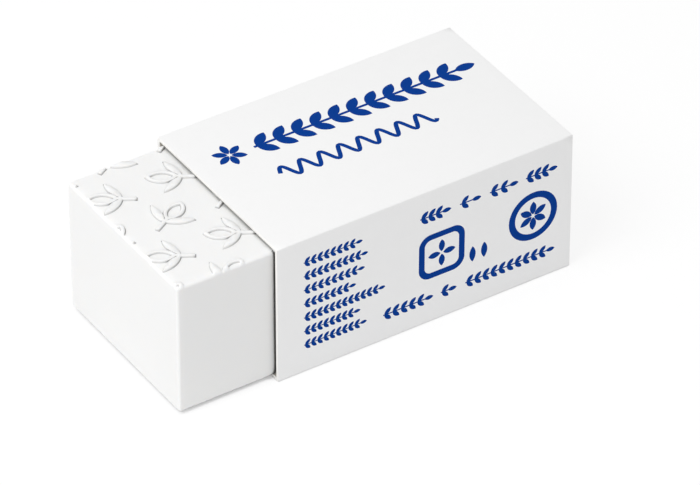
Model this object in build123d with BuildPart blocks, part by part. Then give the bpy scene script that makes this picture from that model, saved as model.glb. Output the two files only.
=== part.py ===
from build123d import *
import os

# Small block eraser in a folded card sleeve. Millimetres, +Z up.
#
# X runs along the block and the bare tip points to -X. The sleeve's plain long side, with the
# glued seam, is at +Y. The origin is under the middle of the whole part, on the surface that
# it lies on. The block slides along X inside the sleeve.

# ---- Block: soft white vinyl, cut from a longer moulded strip ----
block_length = 35.7
block_width = 16.2
block_height = 12.0
block_edge_radius = 0.35     # long moulded edges
block_cut_radius = 0.2       # edges of the two cut ends
tip_length = 8.6             # how far the block stands out of the sleeve

# ---- Relief: sprigs, each a line-drawn bud between two slim leaves, in rows on the top face ----
bud_length = 2.6
bud_width = 1.5
line_width = 0.3             # the raised line that draws bud and stem
leaf_length = 2.4
leaf_width = 0.66
leaf_spread = 54.0           # degrees from the stem to a leaf
stem_length = 1.6
stem_tip = 0.5               # how far the stem goes on past the leaves
bud_seat = 0.2               # how far the stem runs into the bud
relief_height = 0.18
sprig_tilt = 30.0            # degrees from X, to the other side in every second row
sprig_pitch = 5.4            # along a row
row_pitch = 4.3              # from row to row

# ---- Sleeve: one sheet of coated card, folded four times and glued ----
card_thickness = 0.3
crease_radius = 0.05         # inside a fold, where creased board closes almost to a corner
flap_short = 0.47            # end of the glue flap, below the top panel's inner face
glue_thickness = 0.03
glue_margin = 0.8            # bare card at each side of the glue
seam_setback = 0.12          # lower edge of the back panel, above the bottom panel's face
rear_inset = 0.3             # the block's far end, inside the sleeve's far edge

# ---- Clearances between the block and the card ----
front_gap = 0.3
flap_gap = 0.05
under_gap = 0.03
over_gap = 0.06              # above the relief

# ---- Sizes that follow from these ----
sleeve_length = block_length - tip_length + rear_inset
sleeve_width = block_width + front_gap + flap_gap + 3 * card_thickness + glue_thickness
sleeve_height = block_height + under_gap + relief_height + over_gap + 2 * card_thickness
flap_width = sleeve_height - card_thickness - flap_short

tip_x = -(tip_length + sleeve_length) / 2
sleeve_front_x = tip_x + tip_length
block_front_y = -sleeve_width / 2 + card_thickness + front_gap
block_middle_y = block_front_y + block_width / 2
block_bottom_z = card_thickness + under_gap
block_top_z = block_bottom_z + block_height


# %% Eraser block, with its relief
with BuildSketch(mode=Mode.PRIVATE) as bud:
    with BuildLine():
        ThreePointArc((0, 0), (bud_length / 2, bud_width / 2), (bud_length, 0))
        ThreePointArc((bud_length, 0), (bud_length / 2, -bud_width / 2), (0, 0))
    make_face()
    offset(amount=-line_width, mode=Mode.SUBTRACT)

with BuildSketch(mode=Mode.PRIVATE) as leaf:
    with BuildLine():
        ThreePointArc((0, 0), (leaf_length / 2, leaf_width / 2), (leaf_length, 0))
        ThreePointArc((leaf_length, 0), (leaf_length / 2, -leaf_width / 2), (0, 0))
    make_face()

foot_x = -(stem_length - bud_seat + bud_length) / 2
with BuildSketch(mode=Mode.PRIVATE) as sprig:
    with Locations((foot_x + stem_length / 2, 0)):
        Rectangle(stem_length, line_width)
    with Locations((foot_x + stem_length - bud_seat, 0)):
        add(bud.sketch)
    with Locations((foot_x + stem_length - stem_tip, 0)):
        add(leaf.sketch, rotation=leaf_spread)
        add(leaf.sketch, rotation=-leaf_spread)

sprigs_along = int(block_length / sprig_pitch) + 2
row_pairs = int(block_width / (2 * row_pitch)) + 2

with BuildPart() as eraser_block:
    with BuildSketch(Plane.YZ.offset(tip_x)):
        with Locations((block_middle_y, block_bottom_z + block_height / 2)):
            RectangleRounded(block_width, block_height, block_edge_radius)
    extrude(amount=block_length)
    cut_ends = faces().filter_by(Axis.X)
    fillet(cut_ends.edges(), block_cut_radius)

    # The sprigs stand on the flat of the top face. Those that its edges cross are cut off there.
    with BuildSketch(Plane.XY.offset(block_top_z)):
        with Locations((tip_x + block_length / 2, block_middle_y)):
            with GridLocations(sprig_pitch, 2 * row_pitch, sprigs_along, row_pairs):
                add(sprig.sketch, rotation=sprig_tilt)
            with Locations((sprig_pitch / 2, row_pitch)):
                with GridLocations(sprig_pitch, 2 * row_pitch, sprigs_along, row_pairs):
                    add(sprig.sketch, rotation=180 - sprig_tilt)
            Rectangle(
                block_length - 2 * block_cut_radius,
                block_width - 2 * block_edge_radius,
                mode=Mode.INTERSECT,
            )
    extrude(amount=relief_height)


# %% Card sleeve: one sheet, followed from the flap round to the back panel
flap_face_y = sleeve_width / 2 - card_thickness - glue_thickness
glue_height = flap_width - crease_radius - card_thickness - 2 * glue_margin


def sheet_corners(depth):
    """Corners of the folded sheet in section, at a depth under its outer face."""
    return [
        (flap_face_y - depth, flap_width),
        (flap_face_y - depth, depth),
        (-sleeve_width / 2 + depth, depth),
        (-sleeve_width / 2 + depth, sleeve_height - depth),
        (sleeve_width / 2 - depth, sleeve_height - depth),
        (sleeve_width / 2 - depth, seam_setback),
    ]


with BuildPart() as card_sleeve:
    with BuildSketch(Plane.YZ.offset(sleeve_front_x)):
        with BuildLine():
            outside = FilletPolyline(*sheet_corners(0), radius=crease_radius + card_thickness)
            inside = FilletPolyline(*sheet_corners(card_thickness), radius=crease_radius)
            Line(outside @ 0, inside @ 0)
            Line(outside @ 1, inside @ 1)
        make_face()
        glue_middle_z = flap_width - glue_margin - glue_height / 2
        with Locations((flap_face_y + glue_thickness / 2, glue_middle_z)):
            Rectangle(glue_thickness, glue_height)
    extrude(amount=sleeve_length)


# %% One STEP file for each piece
os.makedirs("parts", exist_ok=True)
eraser_block.part.label = "eraser_block"
export_step(eraser_block.part, "parts/eraser_block.step")
card_sleeve.part.label = "card_sleeve"
export_step(card_sleeve.part, "parts/card_sleeve.step")
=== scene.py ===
# %% [markdown]
# # A block eraser in its card sleeve
#
# The real thing is two pieces. A block of soft white vinyl is moulded with a low relief on its
# top face and then cut to length. A card sleeve is printed flat, folded round it and glued.
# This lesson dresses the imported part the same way: the block gets a soft moulded skin, and the
# sleeve is drawn as a flat printed sheet and then folded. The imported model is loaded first, and
# every size that it holds is read from it.

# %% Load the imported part
import math

import bpy
import numpy as np
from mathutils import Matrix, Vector, noise
from mathutils.geometry import delaunay_2d_cdt


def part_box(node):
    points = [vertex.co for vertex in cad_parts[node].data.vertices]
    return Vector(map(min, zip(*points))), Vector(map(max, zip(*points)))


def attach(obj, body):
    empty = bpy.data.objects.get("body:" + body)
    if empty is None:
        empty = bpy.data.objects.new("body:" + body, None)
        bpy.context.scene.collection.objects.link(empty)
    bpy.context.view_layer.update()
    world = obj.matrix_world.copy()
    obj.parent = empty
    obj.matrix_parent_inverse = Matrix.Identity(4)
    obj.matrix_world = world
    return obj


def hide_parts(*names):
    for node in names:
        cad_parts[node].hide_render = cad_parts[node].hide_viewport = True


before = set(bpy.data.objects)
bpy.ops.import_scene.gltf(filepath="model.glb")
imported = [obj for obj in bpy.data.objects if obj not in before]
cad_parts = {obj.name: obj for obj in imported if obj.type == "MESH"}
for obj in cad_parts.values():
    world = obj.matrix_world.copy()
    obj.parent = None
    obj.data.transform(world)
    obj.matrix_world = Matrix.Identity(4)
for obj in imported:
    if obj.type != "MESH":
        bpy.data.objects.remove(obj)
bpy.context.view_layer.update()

MM = 0.001
block_low, block_high = (np.array(corner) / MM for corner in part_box("eraser_block"))
sleeve_low, sleeve_high = (np.array(corner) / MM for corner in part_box("card_sleeve"))
print("block in mm:", block_low.round(2), block_high.round(2))
print("sleeve in mm:", sleeve_low.round(2), sleeve_high.round(2))

# %% [markdown]
# ## Colours and nodes
#
# Colours are easiest to choose as the hex values that a screen shows, but Blender mixes light
# in linear values, so one function turns the one into the other. A second one adds a shader
# node, sets it up and links it, so that each material below reads as a short list. Sockets that
# share a name with others of their node are given by number.

# %% Turn a hex colour into linear values
def linear(hex_colour):
    """Linear RGBA of an sRGB colour such as "F4F4F2"."""
    channels = [int(hex_colour[i:i + 2], 16) / 255 for i in (0, 2, 4)]
    return [c / 12.92 if c <= 0.04045 else ((c + 0.055) / 1.055) ** 2.4 for c in channels] + [1.0]


print("white vinyl in linear values:", [round(c, 3) for c in linear("FAFAF9")])


# %% Add one shader node, with its settings and its links
COLOUR_A, COLOUR_B, MIXED = 6, 7, 2      # the sockets of a Mix node that mixes two colours


def add_node(tree, kind, settings, links=None):
    """A new node. Settings are for its properties or inputs, and links lead outputs into inputs."""
    node = tree.nodes.new(kind)
    for name, value in settings.items():
        if isinstance(name, str) and hasattr(node, name):
            setattr(node, name, value)
        else:
            node.inputs[name].default_value = value
    for name, output in (links or {}).items():
        tree.links.new(output, node.inputs[name])
    return node


def new_material(name):
    """An empty node material and its tree."""
    material = bpy.data.materials.new(name)
    material.use_nodes = True
    material.node_tree.nodes.clear()
    return material, material.node_tree


# %% [markdown]
# ## Eraser vinyl
#
# The block is plasticised PVC, called vinyl, moulded against a fine matt tool. Light goes about
# half a millimetre into it before it comes back out. That gives the eye a soft glow along the lit
# edges, with no hard line between a bright face and a shaded one. So the shader sends a share of
# the light under the surface, and its bump is only a faint moulded grain. A painted highlight
# makes the edges a shade lighter, which the mesh below stores as a value at each of its points.

# %% Start the vinyl: its slow tone and its painted edge highlight
VINYL_DEPTH = 0.4            # how far light spreads under the surface, mm
VINYL_GLOW = 0.4             # share of the light that goes under the surface
GRAIN_SIZE = 0.12            # moulded grain, mm
GRAIN_DEPTH = 0.02           # its depth, mm
CLOUD_SIZE = 5.0             # slow change of tone in the mix, mm

vinyl, tree = new_material("moulded_white_vinyl")
place = add_node(tree, "ShaderNodeTexCoord", {})
clouds = add_node(
    tree, "ShaderNodeTexNoise",
    {"Scale": 1 / (CLOUD_SIZE * MM), "Detail": 3.0, "Roughness": 0.5},
    {"Vector": place.outputs["Object"]},
)
tone = add_node(
    tree, "ShaderNodeMix",
    {"data_type": "RGBA", COLOUR_A: linear("F7F7F6"), COLOUR_B: linear("FAFAF9")},
    {"Factor": clouds.outputs["Fac"]},
)
# painted highlight: the vinyl's edges are mixed towards pure white
painted_edge_highlight = add_node(tree, "ShaderNodeAttribute", {"attribute_name": "painted_edge_highlight"})
with_edge_highlight = add_node(
    tree, "ShaderNodeMix",
    {"data_type": "RGBA", COLOUR_B: linear("FFFFFF")},
    {"Factor": painted_edge_highlight.outputs["Fac"], COLOUR_A: tone.outputs[MIXED]},
)
print("made the tone of", vinyl.name)

# %% [markdown]
# A thin line of painted shade lies at the foot of the relief's walls. More painted shade darkens
# the block in the mouth of the sleeve, where card half covers the vinyl. An Ambient Occlusion node
# measures how open a place is, and a colour ramp turns that into painted shade. Deep inside the
# sleeve, where the vinyl is almost fully closed in, the ramp goes back to white.

# %% Finish the vinyl: its painted shade, its grain and its skin
FOOT_SHADE_COLOUR = "343436"         # painted shade at the foot of the relief's walls
SHADE_REACH = 1.2             # how near the card or other surfaces must be for painted shade beside them, mm
PAINTED_SHADES = (              # how open a place is, and the painted shade there
    (0.14, "FFFFFF"), (0.2, "141414"), (0.41, "242424"),
    (0.47, "909090"), (0.54, "FAFAFA"), (0.8, "FFFFFF"),
)

# painted shade: a thin dark line at the foot of the relief's walls
foot_lines = add_node(tree, "ShaderNodeAttribute", {"attribute_name": "painted_foot_shade"})
lined = add_node(
    tree, "ShaderNodeMix",
    {"data_type": "RGBA", COLOUR_B: linear(FOOT_SHADE_COLOUR)},
    {"Factor": foot_lines.outputs["Fac"], COLOUR_A: with_edge_highlight.outputs[MIXED]},
)
# painted shade: where the AO finds the vinyl half closed in, the ramp darkens its colour
openness = add_node(
    tree, "ShaderNodeAmbientOcclusion", {"samples": 16, "Distance": SHADE_REACH * MM},
)
painted_shade_ramp = add_node(tree, "ShaderNodeValToRGB", {}, {"Fac": openness.outputs["AO"]})
for share, _ in PAINTED_SHADES[1:-1]:
    painted_shade_ramp.color_ramp.elements.new(share)
for stop, (share, shade) in zip(painted_shade_ramp.color_ramp.elements, PAINTED_SHADES):
    stop.position = share
    stop.color = linear(shade)
# how strong the painted shade from the ramp is: weaker on the top face than on the walls
gap_share = add_node(tree, "ShaderNodeAttribute", {"attribute_name": "painted_gap_shade"})
with_painted_shade = add_node(
    tree, "ShaderNodeMix",
    {"data_type": "RGBA", "blend_type": "MULTIPLY"},
    {
        "Factor": gap_share.outputs["Fac"],
        COLOUR_A: lined.outputs[MIXED],
        COLOUR_B: painted_shade_ramp.outputs["Color"],
    },
)
grain = add_node(
    tree, "ShaderNodeTexNoise",
    {"Scale": 1 / (GRAIN_SIZE * MM), "Detail": 2.0},
    {"Vector": place.outputs["Object"]},
)
grain_bump = add_node(
    tree, "ShaderNodeBump",
    {"Strength": 0.12, "Distance": GRAIN_DEPTH * MM},
    {"Height": grain.outputs["Fac"]},
)
vinyl_skin = add_node(
    tree, "ShaderNodeBsdfPrincipled",
    {
        "Roughness": 0.55,
        "IOR": 1.53,
        "Subsurface Weight": VINYL_GLOW,
        "Subsurface Scale": VINYL_DEPTH * MM,
        "Subsurface Radius": (1.0, 0.95, 0.88),
    },
    {"Base Color": with_painted_shade.outputs[MIXED], "Normal": grain_bump.outputs["Normal"]},
)
add_node(tree, "ShaderNodeOutputMaterial", {}, {"Surface": vinyl_skin.outputs["BSDF"]})
print("made", vinyl.name, "with", len(tree.nodes), "nodes")

# %% [markdown]
# ## Coated card
#
# The sleeve is white folding board. Its outside is coated with clay and calendered, which makes
# it smooth with a low sheen, and the blue offset print lies on that coat. Its back is raw board,
# greyer and fibrous, and so is the cut edge, where the white core shows. One function builds
# all four finishes, because they differ only in colour, gloss and how much fibre shows.

# %% Make the card finishes
MOTTLE_SIZE = 1.6            # cloudiness of the board, mm
FIBRE_SIZE = 0.09            # fibres that show through the coat, mm


def card_finish(name, dark_hex, light_hex, roughness, shine, fibre):
    """A finish of the board: two near tones, roughness, shine and the depth of its fibre, mm."""
    material, tree = new_material(name)
    place = add_node(tree, "ShaderNodeTexCoord", {})
    mottle = add_node(
        tree, "ShaderNodeTexNoise",
        {"Scale": 1 / (MOTTLE_SIZE * MM), "Detail": 4.0, "Roughness": 0.6},
        {"Vector": place.outputs["Object"]},
    )
    tone = add_node(
        tree, "ShaderNodeMix",
        {"data_type": "RGBA", COLOUR_A: linear(dark_hex), COLOUR_B: linear(light_hex)},
        {"Factor": mottle.outputs["Fac"]},
    )
    fibres = add_node(
        tree, "ShaderNodeTexNoise",
        {"Scale": 1 / (FIBRE_SIZE * MM), "Detail": 3.0, "Distortion": 0.6},
        {"Vector": place.outputs["Object"]},
    )
    bump = add_node(
        tree, "ShaderNodeBump",
        {"Strength": 0.5, "Distance": fibre * MM},
        {"Height": fibres.outputs["Fac"]},
    )
    skin = add_node(
        tree, "ShaderNodeBsdfPrincipled",
        {"Roughness": roughness, "IOR": 1.5, "Specular IOR Level": shine},
        {"Base Color": tone.outputs[MIXED], "Normal": bump.outputs["Normal"]},
    )
    add_node(tree, "ShaderNodeOutputMaterial", {}, {"Surface": skin.outputs["BSDF"]})
    return material


coated_face = card_finish("coated_board_face", "F9F9F9", "FCFCFC", 0.42, 0.5, 0.004)
blue_print = card_finish("offset_blue_print", "00388E", "003F96", 0.5, 0.03, 0.003)
board_core = card_finish("cut_board_core", "FAF9F6", "FDFCFA", 0.85, 0.3, 0.02)
board_back = card_finish("raw_board_back", "BDB9B0", "C9C5BC", 0.9, 0.3, 0.02)
print("made", [m.name for m in (coated_face, blue_print, board_core, board_back)])

# %% [markdown]
# ## Faces from outlines
#
# Both pieces have flat faces with fine outlines in them: raised leaves on the block, print on
# the sleeve. A Delaunay triangulation takes any outlines and fills between them with clean
# triangles, so an edge is as sharp as its own points, and no grid has to be fine everywhere.
# The points round its outside are then followed from edge to edge, to join it to what comes next.

# %% Triangulate a rectangle with outlines, lines and dots in it
MERGE = 0.004                # points nearer than this are one point, mm


def spread(start, end, step):
    """Evenly spaced values from start to end, about one step apart."""
    return np.linspace(start, end, max(2, int(round((end - start) / step)) + 1))


def rectangle_rim(across, up):
    """Points round a rectangle, anticlockwise, from the places of those along its two sides."""
    rim = [(x, up[0]) for x in across[:-1]] + [(across[-1], y) for y in up[:-1]]
    return rim + [(x, up[-1]) for x in across[:0:-1]] + [(across[0], y) for y in up[:0:-1]]


def anticlockwise(outline):
    """The outline, turned round if it runs clockwise."""
    x, y = np.array(outline).T
    area = np.sum(x * np.roll(y, -1) - y * np.roll(x, -1))
    return outline if area > 0 else outline[::-1]


def triangulate(rim, outlines=(), lines=(), dots=(), merge=MERGE):
    """Points, triangles inside the rim and, for each triangle, the outlines that it lies in."""
    points, edges, faces = [], [], []
    for outline in (rim, *outlines):
        faces.append(list(range(len(points), len(points) + len(outline))))
        points += [Vector(p) for p in anticlockwise(outline)]
    for line in lines:
        edges += [(i, i + 1) for i in range(len(points), len(points) + len(line) - 1)]
        points += [Vector(p) for p in line]
    points += [Vector(p) for p in dots]
    found, _, triangles, _, _, owners = delaunay_2d_cdt(points, edges, faces, 1, merge)
    kept = [(t, set(o) - {0}) for t, o in zip(triangles, owners) if 0 in o]
    used = sorted({i for t, _ in kept for i in t})
    number = {old: new for new, old in enumerate(used)}
    triangles = [[number[i] for i in t] for t, _ in kept]
    within = [[i - 1 for i in o] for _, o in kept]
    return np.array(found)[used], triangles, within


def rim_ring(points, triangles):
    """The vertices round the outside of a triangulation, anticlockwise from its low corner."""
    edges = {(t[i], t[(i + 1) % 3]) for t in triangles for i in range(3)}
    after = {a: b for a, b in edges if (b, a) not in edges}
    ring = [min(after, key=lambda i: points[i].sum())]
    while after[ring[-1]] != ring[0]:
        ring.append(after[ring[-1]])
    return ring


def join_rings(first, second):
    """Faces between two rings of as many vertices. A face with a doubled vertex is a triangle."""
    faces = []
    for i in range(len(first)):
        j = (i + 1) % len(first)
        corners = [first[i], second[i], second[j], first[j]]
        corners = [v for n, v in enumerate(corners) if v not in corners[:n]]
        if len(corners) > 2:
            faces.append(corners)
    return faces


def new_piece(name, points, faces, materials, material_of_face, body, node):
    """A smooth mesh piece in place of a CAD node, on its body."""
    mesh = bpy.data.meshes.new(name)
    mesh.from_pydata([tuple(p) for p in np.array(points) * MM], [], faces)
    for material in materials:
        mesh.materials.append(material)
    mesh.polygons.foreach_set("material_index", material_of_face)
    mesh.polygons.foreach_set("use_smooth", [True] * len(mesh.polygons))
    mesh.validate()
    piece = bpy.data.objects.new(name, mesh)
    bpy.context.scene.collection.objects.link(piece)
    shading = piece.modifiers.new("flat faces shade flat", "WEIGHTED_NORMAL")
    shading.keep_sharp = True
    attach(piece, body)
    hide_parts(node)
    return piece


# %% [markdown]
# ## The relief
#
# The mould draws low sprigs all over the block's top face, in staggered rows that lean one way
# and then the other. A bud or a leaf is a lens, the overlap of two discs. The height can so be
# worked out at any point, because it depends only on how far inside the two arcs the point
# lies. The wall is a soft step, as vinyl fills no sharp corner of a mould.

# %% Lay out one sprig and its rows
BUD_LENGTH = 2.6
BUD_WIDTH = 1.5
LINE_WIDTH = 0.3             # the raised line that draws bud and stem
LEAF_LENGTH = 2.4
LEAF_WIDTH = 0.66
LEAF_SPREAD = 54.0           # degrees from the stem to a leaf
STEM_LENGTH = 1.6
STEM_TIP = 0.5               # how far the stem goes on past the leaves
BUD_SEAT = 0.2               # how far the stem runs into the bud
SPRIG_TILT = 30.0            # degrees from x, to the other side in every second row
SPRIG_PITCH = 5.4            # along a row
ROW_PITCH = 4.3              # from row to row
RELIEF_HEIGHT = 0.18

block_middle = (block_low + block_high)[:2] / 2
block_size = (block_high - block_low)[:2]
foot = -(STEM_LENGTH - BUD_SEAT + BUD_LENGTH) / 2


def turned(points, degrees):
    """Points turned anticlockwise about their origin."""
    c, s = math.cos(math.radians(degrees)), math.sin(math.radians(degrees))
    return np.array(points) @ np.array([[c, s], [-s, c]])


def lens_from(root, tilt, length, width):
    """A lens that grows from a root on the stem: its middle, tilt, length and width."""
    return np.array([root, 0]) + turned((length / 2, 0), tilt), tilt, length, width


sprig_bud = lens_from(foot + STEM_LENGTH - BUD_SEAT, 0, BUD_LENGTH, BUD_WIDTH)
sprig_leaves = [
    lens_from(foot + STEM_LENGTH - STEM_TIP, side * LEAF_SPREAD, LEAF_LENGTH, LEAF_WIDTH)
    for side in (1, -1)
]
stem_middle = np.array([foot + STEM_LENGTH / 2, 0])


def sprig_places():
    """Middle and tilt of each sprig that can reach the block's top face."""
    pitch = np.array([SPRIG_PITCH, 2 * ROW_PITCH])
    counts = (block_size / pitch).astype(int) + 2
    rows = (((0, 0), SPRIG_TILT), ((SPRIG_PITCH / 2, ROW_PITCH), 180 - SPRIG_TILT))
    places = []
    for shift, tilt in rows:
        for i in range(counts[0]):
            for j in range(counts[1]):
                step = ([i, j] - (counts - 1) / 2) * pitch
                places.append((block_middle + step + shift, tilt))
    reach = block_size / 2 - foot
    return [(at, tilt) for at, tilt in places if np.all(np.abs(at - block_middle) < reach)]


print(len(sprig_places()), "sprigs on the top face")

# %% [markdown]
# A lens of a given length and width fixes the radius of its two discs. Points further inside
# than the line is wide are the open middle of a bud, which lies as low as the face round it.
# A painted shade lies at the foot of the relief's walls. It is darkest behind walls that look to
# the sleeve, away from the lamp.

# %% Work out the height of the relief at any point
WALL_WIDTH = 0.06            # the soft step up to the top of a line
FOOT_SHADE_WIDTH = 0.05            # half the width of the painted shade line at the foot of a wall
LEAST_FOOT_SHADE = 0.35            # how strong it is where a wall looks away from the sleeve, towards the lamp


def lens_arc(length, width):
    """Radius of the two discs whose overlap is a lens, and how far each one is set back."""
    radius = (length ** 2 + width ** 2) / (4 * width)
    return radius, radius - width / 2


def inside_lens(points, lens):
    """How far inside a lens each point lies, negative outside."""
    middle, tilt, length, width = lens
    radius, set_back = lens_arc(length, width)
    along, across = np.abs(turned(points - middle, -tilt)).T
    return radius - np.hypot(along, across + set_back)


def inside_lines(points):
    """How far inside a raised line or leaf each point of the top face lies, negative outside."""
    inside = np.full(len(points), -1.0)
    for place, tilt in sprig_places():
        at = turned(points - place, -tilt)
        in_bud = inside_lens(at, sprig_bud)
        stem_along, stem_across = np.abs(at - stem_middle).T
        in_stem = np.minimum(STEM_LENGTH / 2 - stem_along, LINE_WIDTH / 2 - stem_across)
        in_leaves = [inside_lens(at, leaf) for leaf in sprig_leaves]
        in_sprig = np.max([np.minimum(in_bud, LINE_WIDTH - in_bud), in_stem, *in_leaves], axis=0)
        inside = np.maximum(inside, in_sprig)
    return inside


def relief(points):
    """Height of the relief in mm at each point of the top face."""
    step = np.clip(inside_lines(points) / WALL_WIDTH + 0.5, 0, 1)
    return RELIEF_HEIGHT * step * step * (3 - 2 * step)


def painted_foot_shade(points):
    """How much painted shade lies at the foot of the walls, most where a wall looks to the sleeve.
    """
    inside = inside_lines(points)
    nudge = 0.01
    looks_to_sleeve = (inside - inside_lines(points + (nudge, 0))) / nudge
    lies = np.clip(1 - np.abs(inside + WALL_WIDTH / 2) / FOOT_SHADE_WIDTH, 0, 1)
    return lies * (LEAST_FOOT_SHADE + (1 - LEAST_FOOT_SHADE) * np.clip(looks_to_sleeve, 0, 1))


# %% [markdown]
# The same curves give the outlines for the triangulation. Nested outlines follow each wall from
# its foot to its top, so the soft step gets its own faces and the flat between stays flat.

# %% Draw the outlines of a sprig
ARC_STEPS = 20               # points along the arc of a lens
STEM_STEPS = 8               # points along the side of a stem
WALL_STEPS = (-1.4, -0.5, -0.25, 0.0, 0.25, 0.5)    # shares of the wall's width


def lens_outline(lens, inset=0.0, arc_steps=ARC_STEPS):
    """Outline of a lens, drawn in by an inset."""
    middle, tilt, length, width = lens
    radius, set_back = lens_arc(length, width)
    radius -= inset
    swing = math.acos(set_back / radius)
    angles = np.linspace(swing, -swing, arc_steps)[:-1]
    arc = np.column_stack([radius * np.sin(angles), radius * np.cos(angles) - set_back])
    return turned(np.concatenate([arc, -arc]), tilt) + middle


def bar_outline(middle, length, width, inset=0.0):
    """Outline of a straight bar along x, drawn in by an inset."""
    half, side = length / 2 - inset, width / 2 - inset
    x = np.linspace(-half, half, STEM_STEPS)
    lower = np.column_stack([x, np.full(len(x), -side)])
    return np.concatenate([lower, -lower]) + middle


def sprig_outlines():
    """Every nested outline of every sprig, on the block's top face."""
    single = []
    for share in WALL_STEPS:
        inset = share * WALL_WIDTH
        single.append(lens_outline(sprig_bud, inset))
        single.append(lens_outline(sprig_bud, LINE_WIDTH - inset))
        single.append(bar_outline(stem_middle, STEM_LENGTH, LINE_WIDTH, inset))
        single += [lens_outline(leaf, inset) for leaf in sprig_leaves]
    return [turned(outline, tilt) + place for place, tilt in sprig_places() for outline in single]


print(len(sprig_outlines()), "outlines round the sprigs")

# %% [markdown]
# ## The block
#
# The top face is triangulated with the sprigs in it. From its rim, columns of points go over the
# rounded edge, down the wall and round the lower edge to the underside. The long edges come from
# the mould and are rounder than the edges of the two cut ends. Each edge is a little uneven and
# each wall a little hollow, as on soft vinyl, and nothing stands further out than the solid.

# %% Build the block
LONG_EDGE = 0.22             # radius of the long moulded edges
CUT_EDGE = 0.2               # radius of the edges of the cut ends
ROUND_STEPS = 8              # faces round a long or cut edge
CORNER_STEPS = 5             # columns at an upright corner
RIM_STEP = 0.44              # spacing of points along the edges, mm
FACE_STEP = 0.8              # spacing of plain points on the faces, mm
WALL_HOLLOW = 0.03           # how far the walls sink in between their edges, mm
WALL_LEVELS = (0.01, 0.04, 0.12, 0.25, 0.4, 0.5, 0.6, 0.75, 0.88, 0.96, 0.99)
EDGE_UNEVEN = 0.04           # how deep the rounding over the top edges sinks in places, mm
EDGE_WANDER = 1.7            # length over which that varies, mm

block_top = block_high[2] - RELIEF_HEIGHT
inset = np.array([CUT_EDGE, LONG_EDGE])
top_low = block_low[:2] + inset
top_high = block_high[:2] - inset


def sag(points):
    """How far a large face sinks at each of its points, in mm: most in its middle."""
    share = (points - top_low) / (top_high - top_low)
    return WALL_HOLLOW * np.prod(np.sin(np.pi * np.clip(share, 0, 1)), axis=1)


def inner_dots(low, high, step):
    """Plain points over a rectangle, clear of its rim."""
    across, up = (spread(low[i], high[i], step)[1:-1] for i in (0, 1))
    return [(x, y) for x in across for y in up]


def at_rim(points, low, high):
    """For each direction, 1 at the high side of a rectangle, -1 at its low side, else 0."""
    return (points > high - MERGE) * 1.0 - (points < low + MERGE) * 1.0


def rim_columns(flat, ring):
    """For each column round the block: its rim vertex, and the way that it looks from above."""
    columns = []
    for i in ring:
        along, across = at_rim(flat[i], top_low, top_high).astype(int)
        if along and across:
            start = math.atan2(across, along) - math.pi / 4
            turns = np.linspace(start, start + math.pi / 2, CORNER_STEPS)
            columns += [(i, math.cos(a), math.sin(a)) for a in turns]
        else:
            columns.append((i, along, across))
    return columns


along, across = (spread(top_low[i], top_high[i], RIM_STEP) for i in (0, 1))
rim = rectangle_rim(along, across)
dots = inner_dots(top_low, top_high, FACE_STEP)
flat, triangles, _ = triangulate(rim, outlines=sprig_outlines(), dots=dots)
ring = rim_ring(flat, triangles)
sides = at_rim(flat[ring], top_low, top_high)
flat[ring] = np.where(sides == 0, flat[ring], np.where(sides > 0, top_high, top_low))
columns = rim_columns(flat, ring)
print(len(triangles), "triangles on the top face,", len(columns), "columns round the block")

# %% Prepare how each column bows and sinks
start = np.array([i for i, _, _ in columns])
looks = np.array([(along, across) for _, along, across in columns])
reach = looks * inset
radius = (looks ** 2) @ inset
share = (flat[start] - top_low) / (top_high - top_low)
bow = np.sum(np.abs(looks[:, ::-1]) * np.sin(np.pi * share), axis=1)
raised = relief(flat)
wobble = np.array([noise.noise(Vector((x, y, 0)) / EDGE_WANDER) for x, y in flat[start]])
wobble = EDGE_UNEVEN * (0.5 + 0.5 * wobble)

block_points = [list(p) + [z] for p, z in zip(flat, block_top + raised - sag(flat))]
block_faces = [list(t) for t in triangles]
rings = [list(start)]
print("the edges sink by", wobble.min().round(3), "to", wobble.max().round(3), "mm")


# %% Take the columns down to the underside
def add_ring(places, heights):
    """Adds one ring of points round the block, and the faces up to the ring above it."""
    first = len(block_points)
    block_points.extend([x, y, z] for (x, y), z in zip(places, heights))
    rings.append(list(range(first, len(block_points))))
    block_faces.extend(join_rings(rings[-2], rings[-1]))


quarter = np.linspace(0, math.pi / 2, ROUND_STEPS + 1)[1:]
for angle in quarter:
    lift = raised[start] * math.cos(angle) - wobble * math.sin(2 * angle)
    drop = radius * (1 - math.cos(angle))
    add_ring(flat[start] + reach * math.sin(angle), block_top - drop + lift)
wall_top = block_top - radius
wall_bottom = block_low[2] + radius
for down in WALL_LEVELS:
    hollow = WALL_HOLLOW * bow * math.sin(math.pi * down)
    places = flat[start] + reach - looks * hollow[:, None]
    add_ring(places, wall_top + (wall_bottom - wall_top) * down)
for angle in quarter[::-1]:
    add_ring(flat[start] + reach * math.sin(angle), block_low[2] + radius * (1 - math.cos(angle)))
print(len(rings), "rings from the top face to the underside")

# %% Close the underside
under, triangles, _ = triangulate(flat[ring], dots=dots, merge=MERGE / 1000)
under_ring = rim_ring(under, triangles)
assert len(under_ring) == len(ring), "the underside needs the rim points of the top face"
first = len(block_points)
block_points.extend([x, y, block_low[2]] for x, y in under)
block_faces.extend([first + i for i in t][::-1] for t in triangles)
down_to = {top: first + low for top, low in zip(ring, under_ring)}
block_faces.extend(join_rings(rings[-1], [down_to[i] for i in start]))

block = new_piece(
    "vinyl_block", block_points, block_faces, [vinyl], [0] * len(block_faces),
    "eraser", "eraser_block",
)
print("block:", len(block.data.vertices), "points,", len(block.data.polygons), "faces")

# %% [markdown]
# The vinyl's shader reads three values from the points of the mesh. A painted highlight lightens
# the edges where a point is close to two faces at once. Painted shade at the foot of the relief
# follows its curves. In the gap to the card the painted shade is full on the walls and weaker on
# the top.

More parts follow.
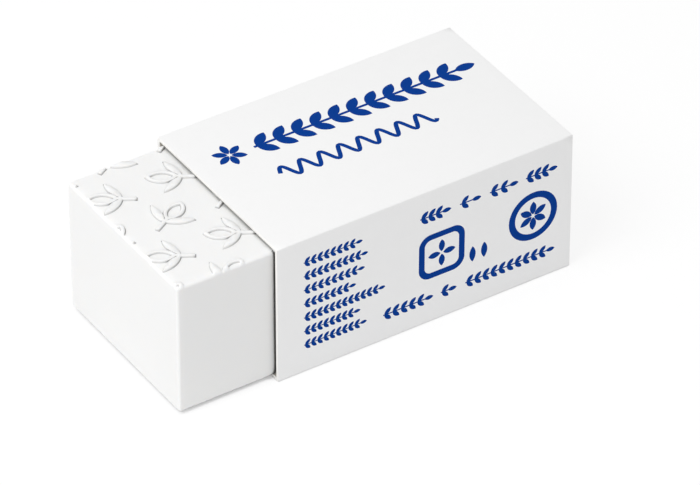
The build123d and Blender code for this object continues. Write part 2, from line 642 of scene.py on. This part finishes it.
# %% Store where the vinyl gets its painted highlight and its painted shade
HIGHLIGHT_REACH = 0.3              # how far from an edge the painted highlight reaches, mm
TOP_GAP_SHADE = 0.45          # painted shade in the gap over the top face, as a share of that on the walls

places = np.array(block_points)
solid_high = np.array([block_high[0], block_high[1], block_top])     # its corner, without relief
outside = np.maximum(block_low - places, places - solid_high)
sharpness = 1 + np.sort(outside, axis=1)[:, 1] / HIGHLIGHT_REACH
elsewhere = len(places) - len(flat)
# the first value paints a highlight on the edges, and the other two paint shade
for name, amounts in (
    ("painted_edge_highlight", np.clip(sharpness, 0, 1)),
    ("painted_foot_shade", np.concatenate([painted_foot_shade(flat), np.zeros(elsewhere)])),
    ("painted_gap_shade", np.concatenate([np.full(len(flat), TOP_GAP_SHADE), np.ones(elsewhere)])),
):
    stored = block.data.attributes.new(name, "FLOAT", "POINT")
    stored.data.foreach_set("value", amounts.astype(np.float32))
    print(name, "has a mean of", round(float(amounts.mean()), 3))

# %% [markdown]
# ## The sleeve as a flat sheet
#
# A real sleeve is cut from a printed sheet, creased in four places, wrapped round the block and
# glued along one long side. The model goes the same way. It is laid out flat first, where the
# print is easy to draw, and then each point is folded to its place. A place on the sheet is x
# along the block and u round it, from the end of the glue flap to the end of the back panel.

# %% Lay out the panels
CARD = 0.3                   # thickness of the board
FOLD_OUTSIDE = 0.12          # radius of a fold's outer face
FOLD_INSIDE = 0.03           # radius of its inner face
FLAP_SHORT = 0.47            # end of the glue flap, below the top panel's inner face
GLUE = 0.03                  # thickness of the glue
SEAM_SETBACK = 0.12          # lower edge of the back panel, above the bottom panel's face
BEND_LENGTH = FOLD_OUTSIDE * math.pi / 2

sleeve_size = sleeve_high - sleeve_low
flap_y = sleeve_high[1] - CARD - GLUE
flap_width = sleeve_size[2] - CARD - FLAP_SHORT
panel_lengths = {
    "flap": flap_width - FOLD_OUTSIDE,
    "bottom": flap_y - sleeve_low[1] - 2 * FOLD_OUTSIDE,
    "front": sleeve_size[2] - 2 * FOLD_OUTSIDE,
    "top": sleeve_size[1] - 2 * FOLD_OUTSIDE,
    "back": sleeve_size[2] - SEAM_SETBACK - FOLD_OUTSIDE,
}
panel_starts = {}
sheet_length = 0.0
for panel, length in panel_lengths.items():
    panel_starts[panel] = sheet_length
    sheet_length += length + (BEND_LENGTH if panel != "back" else 0.0)
print("sheet:", round(sleeve_size[0], 2), "by", round(sheet_length, 2), "mm")

# %% [markdown]
# The whole wrap is five straight runs and four quarter turns: down the flap, under the block, up
# its printed side, over the top and down the back. Creased board folds sharply: its outer face
# turns in a small arc, and its inner face closes almost to a corner. Pressing leaves a fold a
# little uneven, so the board gives slightly beside the folds, always inwards.

# %% Fold a point of the sheet to its place
PRESSED = {"front": 0.02, "top": 0.03, "back": 0.02}     # give at each panel's first fold, mm
PRESS_REACH = 4.0            # how far from a fold the board gives, mm
PRESS_WANDER = 6.0           # length over which it varies, mm
PRESS_EVEN = 0.6             # share of it that is the same all along a fold


def pressed(sheet_points):
    """How far the board is pressed in at each point of the sheet, in mm."""
    depth = np.zeros(len(sheet_points))
    for panel, most in PRESSED.items():
        fold = panel_starts[panel] - BEND_LENGTH / 2
        near = np.clip(1 - np.abs(sheet_points[:, 1] - fold) / PRESS_REACH, 0, 1)
        vary = [noise.noise(Vector((x / PRESS_WANDER, fold, 0))) for x in sheet_points[:, 0]]
        depth += most * near * near * (PRESS_EVEN + (1 - PRESS_EVEN) * np.array(vary))
    return depth


def folded(sheet_points, depth):
    """Places in mm of points of the sheet, each at a depth under the sheet's outer face."""
    x, u = sheet_points.T
    places = np.column_stack([x, np.zeros(len(u)), np.zeros(len(u))])
    radius = FOLD_OUTSIDE + (FOLD_INSIDE - FOLD_OUTSIDE) * depth / CARD
    depth = (depth + pressed(sheet_points))[:, None]
    short = depth + radius - FOLD_OUTSIDE        # how much sooner a layer inside starts to turn
    at, ahead = np.array([flap_y, sleeve_low[2] + flap_width]), np.array([0, -1])
    for panel, length in panel_lengths.items():
        first, last = panel == "flap", panel == "back"
        inward = np.array([ahead[1], -ahead[0]])
        gone = (u - panel_starts[panel])[:, None]
        before, after = short * (not first), short * (not last)
        run = at + ahead * (before + gone * (length - before - after) / length) + inward * depth
        angle = np.clip(gone - length, 0, BEND_LENGTH) / FOLD_OUTSIDE
        corner = at + ahead * (length + FOLD_OUTSIDE)
        middle = corner + (inward - ahead) * (depth + radius)
        turn = middle - radius * (inward * np.cos(angle) - ahead * np.sin(angle))
        here = (gone[:, 0] >= 0) | first
        places[here, 1:] = np.where((gone > length) & (not last), turn, run)[here]
        at, ahead = corner + inward * FOLD_OUTSIDE, inward
    return places


ends = folded(np.array([[0.0, 0.0], [0.0, sheet_length]]), 0.0)
print("flap end and seam end, y and z in mm:", ends[:, 1:].round(2).tolist())

# %% [markdown]
# ## The print
#
# The print is plain ornament in one blue ink, which takes up the leaves of the relief. A bold
# leafy branch and a fine wave lie on the top, and small branches with a square and a round mark
# on the long side. Ink made of faces with their own material stays sharp at any distance. Each
# outline has a level: ink on level 0, bare card cut out of it on level 1, ink again on level 2.

# %% Draw the ornaments, upright in a panel's own plane
BRANCH_PITCH = 0.62          # a branch, in shares of its height: pitch of its leaf pairs,
BRANCH_LEAF = (0.7, 0.34)    # length and width of a leaf,
BRANCH_STEM = 0.1            # and width of its stem
BRANCH_SPREAD = 42           # degrees from the stem to a leaf
PETAL = 0.46                 # length of a petal, as a share of the flower's size
PETAL_WIDTH = 0.5            # its width, as a share of its length
FLOWER_EYE = 0.05            # bare middle of a flower, as a share of its size
PRINT_STEPS = 12             # points along a printed arc


def printed_lens(root, tilt, length, width, level=0):
    """A leaf that grows from its root."""
    lens = np.array(root) + turned((length / 2, 0), tilt), tilt, length, width
    return [(lens_outline(lens, arc_steps=PRINT_STEPS), level)]


def branch(left, right, base, height):
    """A straight branch between two ends: a pair of leaves at each pitch and one at its end."""
    middle = base + height / 2
    length, width = (share * height for share in BRANCH_LEAF)
    pairs = max(1, int(round((right - left - length) / (BRANCH_PITCH * height))))
    roots = left + (right - left - length) * (np.arange(pairs) + 0.15) / pairs
    stem_end = right - 0.8 * length
    stem = bar_outline(((left + stem_end) / 2, middle), stem_end - left, BRANCH_STEM * height)
    shapes = [(stem, 0)]
    shapes += printed_lens((right - length, middle), 0, length, width)
    for x in roots:
        for side in (1, -1):
            shapes += printed_lens((x, middle), BRANCH_SPREAD * side, length, width)
    return shapes


def flower(middle, size, petals, level=0):
    """Petals round a middle."""
    length = PETAL * size
    shapes = []
    for tilt in np.arange(petals) * 360 / petals + 90:
        root = np.array(middle) + turned((FLOWER_EYE * size, 0), tilt)
        shapes += printed_lens(root, tilt, length, PETAL_WIDTH * length, level)
    return shapes


def rounded_square(middle, size, radius, level=0):
    """A square with round corners. A radius of half the size makes a disc."""
    outline = []
    for quarter in range(4):
        for a in np.linspace(0, math.pi / 2, PRINT_STEPS)[:-1]:
            spot = np.array([math.cos(a), math.sin(a)]) * radius + size / 2 - radius
            outline.append(turned(spot, 90 * quarter))
    return [(np.array(outline) + middle, level)]


def wave(left, right, middle, height, stroke, length, step=0.1):
    """A fine wave between two ends, as the outline of its stroke."""
    x = np.linspace(left, right, int((right - left) / step))
    phase = 2 * math.pi * (x - left) / length
    line = np.column_stack([x, middle + height / 2 * np.sin(phase)])
    slope = height * math.pi / length * np.cos(phase)
    side = np.column_stack([-slope, np.ones(len(x))]) / np.hypot(1, slope)[:, None] * stroke / 2
    return [(np.concatenate([line + side, (line - side)[::-1]]), 0)]


print("a leaf outline has", len(printed_lens((0, 0), 0, 1.0, 0.5)[0][0]), "points")

# %% [markdown]
# Both printed panels are drawn upright, with x to the right from the sleeve's open front. The
# height runs from the sleeve's middle on the top panel, and from the desk on the long side.

# %% Compose the print of the two panels
top_print = [
    *flower((3.45, 3.6), 2.8, 6),
    *branch(5.6, 26.3, 2.1, 2.7),
    *wave(5.5, 19.7, -0.6, 1.5, 0.38, 1.8),
]

SMALL_ROWS = (5.4, 5.9, 5.6, 4.8, 7.5, 5.2, 5.8)     # lengths from the top row down, mm
long_side_print = [
    *branch(13.1, 16.0, 9.75, 1.25),
    *branch(16.8, 18.8, 9.75, 1.25),
    *branch(19.6, 22.3, 9.75, 1.25),
    *branch(23.0, 26.0, 9.75, 1.25),
    *rounded_square((15.15, 6.4), 4.3, 1.1),
    *rounded_square((15.15, 6.4), 3.2, 0.6, level=1),
    *flower((15.15, 6.4), 2.5, 4, level=2),
    *printed_lens((18.05, 4.3), 90, 1.5, 0.6),
    *printed_lens((19.15, 4.3), 90, 1.5, 0.6),
    *rounded_square((23.75, 6.45), 4.6, 2.3),
    *rounded_square((23.75, 6.45), 3.4, 1.7, level=1),
    *flower((23.75, 6.45), 2.7, 6, level=2),
    *branch(9.7, 14.4, 1.85, 1.2),
    *branch(15.1, 16.6, 1.85, 1.2),
    *branch(17.4, 25.9, 1.85, 1.2),
]
for i, length in enumerate(SMALL_ROWS):
    long_side_print += branch(2.4, 2.4 + length, 10.15 - 1.333 * i, 0.95)

outlines, levels = [], []
for panel, low_edge, drawing in (
    ("top", sleeve_low[1] + FOLD_OUTSIDE, top_print),
    ("front", sleeve_low[2] + FOLD_OUTSIDE, long_side_print),
):
    for outline, level in drawing:
        outlines.append(outline + (sleeve_low[0], panel_starts[panel] - low_edge))
        levels.append(level)
print(len(outlines), "outlines of print")

# %% [markdown]
# ## Folding the sleeve
#
# The printed outer face and the raw inner face are triangulated apart, with the same rim and
# the same lines across every fold, so they bend cleanly and can be sewn together. The knife
# leaves the cut edge almost square, with a hair of softness that catches the light.

# %% Build the sleeve
KNIFE_SOFT = 0.03            # softness of a cut edge, mm
SHEET_STEP = 1.0             # spacing of plain points, mm
BEND_STEPS = 7               # faces round a fold

rows = []
for panel, length in panel_lengths.items():
    start = panel_starts[panel]
    rows.append(spread(start, start + length, SHEET_STEP))
    if panel != "back":
        rows.append(np.linspace(start + length, start + length + BEND_LENGTH, BEND_STEPS + 1)[1:-1])
rows = np.concatenate(rows)
rows[0] += KNIFE_SOFT
rows[-1] -= KNIFE_SOFT
across = spread(sleeve_low[0] + KNIFE_SOFT, sleeve_high[0] - KNIFE_SOFT, SHEET_STEP)
sheet_low, sheet_high = np.array([across[0], rows[0]]), np.array([across[-1], rows[-1]])
rim = rectangle_rim(across, rows)
fold_lines, dots = [], []
for u in rows[1:-1]:
    bends = [panel_starts[p] - BEND_LENGTH - MERGE < u < panel_starts[p] + MERGE
             for p in panel_starts if p != "flap"]
    if any(bends):
        fold_lines.append([(x, u) for x in across])
    else:
        dots += [(x, u) for x in across[1:-1]]

inner, inner_triangles, _ = triangulate(rim, lines=fold_lines, dots=dots)
outer, outer_triangles, within = triangulate(
    rim, outlines=outlines, lines=fold_lines, dots=dots,
)
inner_ring = rim_ring(inner, inner_triangles)
outer_ring = rim_ring(outer, outer_triangles)
assert len(inner_ring) == len(outer_ring), "both faces of the sheet need the same rim"
print(len(fold_lines), "fold lines,", len(outer_triangles), "triangles on the printed face")

# %% Sew the two faces together along the cut edge
rim_points = inner[inner_ring]
outward = at_rim(rim_points, sheet_low, sheet_high)
knife_cut = rim_points + outward * KNIFE_SOFT
layers = [
    folded(outer, 0.0),
    folded(knife_cut, KNIFE_SOFT),
    folded(knife_cut, CARD - KNIFE_SOFT),
    folded(inner, CARD),
]
firsts = np.cumsum([0] + [len(layer) for layer in layers])
cut_rings = [list(range(first, first + len(rim_points))) for first in firsts[1:3]]
sheet_rings = [outer_ring, *cut_rings, [int(firsts[3]) + i for i in inner_ring]]

FACE, INK, CORE, BACK = range(4)
sleeve_faces = [list(t) for t in outer_triangles]
finish = [INK if owners and max(levels[o] for o in owners) % 2 == 0 else FACE for owners in within]
for first_ring, second_ring in zip(sheet_rings, sheet_rings[1:]):
    sleeve_faces += join_rings(first_ring, second_ring)
finish += [CORE] * (len(sleeve_faces) - len(finish))
sleeve_faces += [[int(firsts[3]) + i for i in t][::-1] for t in inner_triangles]
finish += [BACK] * len(inner_triangles)

sleeve = new_piece(
    "card_sleeve_sheet", np.concatenate(layers), sleeve_faces,
    [coated_face, blue_print, board_core, board_back], finish,
    "sleeve", "card_sleeve",
)
print("sleeve:", len(sleeve.data.vertices), "points,", len(sleeve.data.polygons), "faces")

# %% [markdown]
# ## Floor and light
#
# The table is a plain white sweep. The light is soft from all round, with one large lamp high
# on the side of the bare tip, so the top and the end are bright and the long side is a little
# greyer. The floor shows the eye almost pure white and keeps a faint shadow, and for all other
# rays it is an ordinary white surface. Close to the object, where little light gets in, the eye
# sees more of the ordinary surface, which draws the thin dark line on which the object stands.

# %% Tell what is seen directly from what only lights other things
def seen_directly(tree):
    """1 for what the eye sees straight, in a mirror or through glass, and 0 for other rays."""
    rays = add_node(tree, "ShaderNodeLightPath", {})
    seen = rays.outputs["Is Camera Ray"]
    for kind in ("Is Glossy Ray", "Is Transmission Ray"):
        either = add_node(
            tree, "ShaderNodeMath", {"operation": "MAXIMUM"}, {0: seen, 1: rays.outputs[kind]},
        )
        seen = either.outputs[0]
    return seen


# %% Lay the floor
FLOOR_HALF = 3.0             # metres
SWEEP_PAINT = 0.92           # how much light the white paint gives back
SEEN_PAINT = 0.24            # the floor that the eye sees: a share that takes shadow
SEEN_GLOW = 0.79             # and a share that glows
CONTACT_REACH = 0.6          # how near the object the floor shows its ordinary surface, mm
CONTACT_OPEN = (0.42, 0.58)  # how open the floor is at the start and the end of that change
LEAST_WHITENED = 0.35        # how much the seen floor counts right beside the object

bpy.ops.mesh.primitive_plane_add(size=2 * FLOOR_HALF)
floor = bpy.context.object
floor.name = "floor"

sweep, tree = new_material("painted_white_sweep")
plain = add_node(tree, "ShaderNodeBsdfDiffuse", {"Color": (*[SWEEP_PAINT] * 3, 1.0)})
shaded = add_node(tree, "ShaderNodeBsdfDiffuse", {"Color": (*[SEEN_PAINT] * 3, 1.0)})
glow = add_node(
    tree, "ShaderNodeEmission", {"Color": (1.0, 1.0, 1.0, 1.0), "Strength": SEEN_GLOW},
)
seen = add_node(tree, "ShaderNodeAddShader", {}, {0: shaded.outputs[0], 1: glow.outputs[0]})
crevice = add_node(
    tree, "ShaderNodeAmbientOcclusion", {"samples": 16, "Distance": CONTACT_REACH * MM},
)
clear = add_node(
    tree, "ShaderNodeMapRange",
    {"From Min": CONTACT_OPEN[0], "From Max": CONTACT_OPEN[1], "To Min": LEAST_WHITENED},
    {"Value": crevice.outputs["AO"]},
)
whitened = add_node(
    tree, "ShaderNodeMath", {"operation": "MULTIPLY"},
    {0: seen_directly(tree), 1: clear.outputs["Result"]},
)
look = add_node(
    tree, "ShaderNodeMixShader", {},
    {"Fac": whitened.outputs[0], 1: plain.outputs[0], 2: seen.outputs[0]},
)
add_node(tree, "ShaderNodeOutputMaterial", {}, {"Surface": look.outputs[0]})
floor.data.materials.append(sweep)
print("floor of", 2 * FLOOR_HALF, "m, with", sweep.name)

# %% Set the light
AMBIENT = 0.6                # soft light from all round
KEY_DISTANCE = 0.24          # metres
KEY_SIZE = 0.16              # metres
KEY_SHARE = 0.445            # what the lamp adds, where 1 shows a colour as it is written
TOWARDS_KEY = Vector((-0.56, -0.12, 0.82)).normalized()

world = bpy.data.worlds.new("soft_room")
bpy.context.scene.world = world
world.use_nodes = True
tree = world.node_tree
tree.nodes.clear()
strength = add_node(
    tree, "ShaderNodeMapRange", {"To Min": AMBIENT, "To Max": 1.0}, {"Value": seen_directly(tree)},
)
sky = add_node(
    tree, "ShaderNodeBackground", {"Color": (1.0, 1.0, 1.0, 1.0)},
    {"Strength": strength.outputs["Result"]},
)
add_node(tree, "ShaderNodeOutputWorld", {}, {"Surface": sky.outputs[0]})

key_light = bpy.data.lights.new("key", "AREA")
key_light.shape = "DISK"
key_light.size = KEY_SIZE
key_light.energy = KEY_SHARE * math.pi ** 2 * KEY_DISTANCE ** 2
key = bpy.data.objects.new("key", key_light)
bpy.context.scene.collection.objects.link(key)
key.location = TOWARDS_KEY * KEY_DISTANCE
key.rotation_euler = TOWARDS_KEY.to_track_quat("Z", "Y").to_euler()
print("key lamp at", [round(v, 3) for v in key.location], "with", round(key_light.energy, 3), "W")

# %% [markdown]
# ## Camera
#
# A long lens from well above the near corner shows the top, the long printed side and the bare
# end together. From so far away, lines that are parallel on the object stay nearly parallel.

# %% Place the camera
AIM = Vector((1.449, -2.219, 4.984)) * MM                # near the middle of the object
AZIMUTH, ELEVATION = math.radians(-32.93), math.radians(37.22)
DISTANCE = 474.25 * MM
LENS = 310.77                # focal length in mm, for a sensor 36 mm wide

camera_data = bpy.data.cameras.new("camera")
camera_data.lens = LENS
camera_data.sensor_width = 36.0
camera_data.clip_end = 10.0
camera = bpy.data.objects.new("camera", camera_data)
bpy.context.scene.collection.objects.link(camera)
away = Vector((
    math.sin(AZIMUTH) * math.cos(ELEVATION),
    -math.cos(AZIMUTH) * math.cos(ELEVATION),
    math.sin(ELEVATION),
))
camera.location = AIM + away * DISTANCE
camera.rotation_euler = away.to_track_quat("Z", "Y").to_euler()
bpy.context.scene.camera = camera
bpy.context.scene.view_settings.view_transform = "Standard"
print("camera at", [round(v / MM, 1) for v in camera.location], "mm")
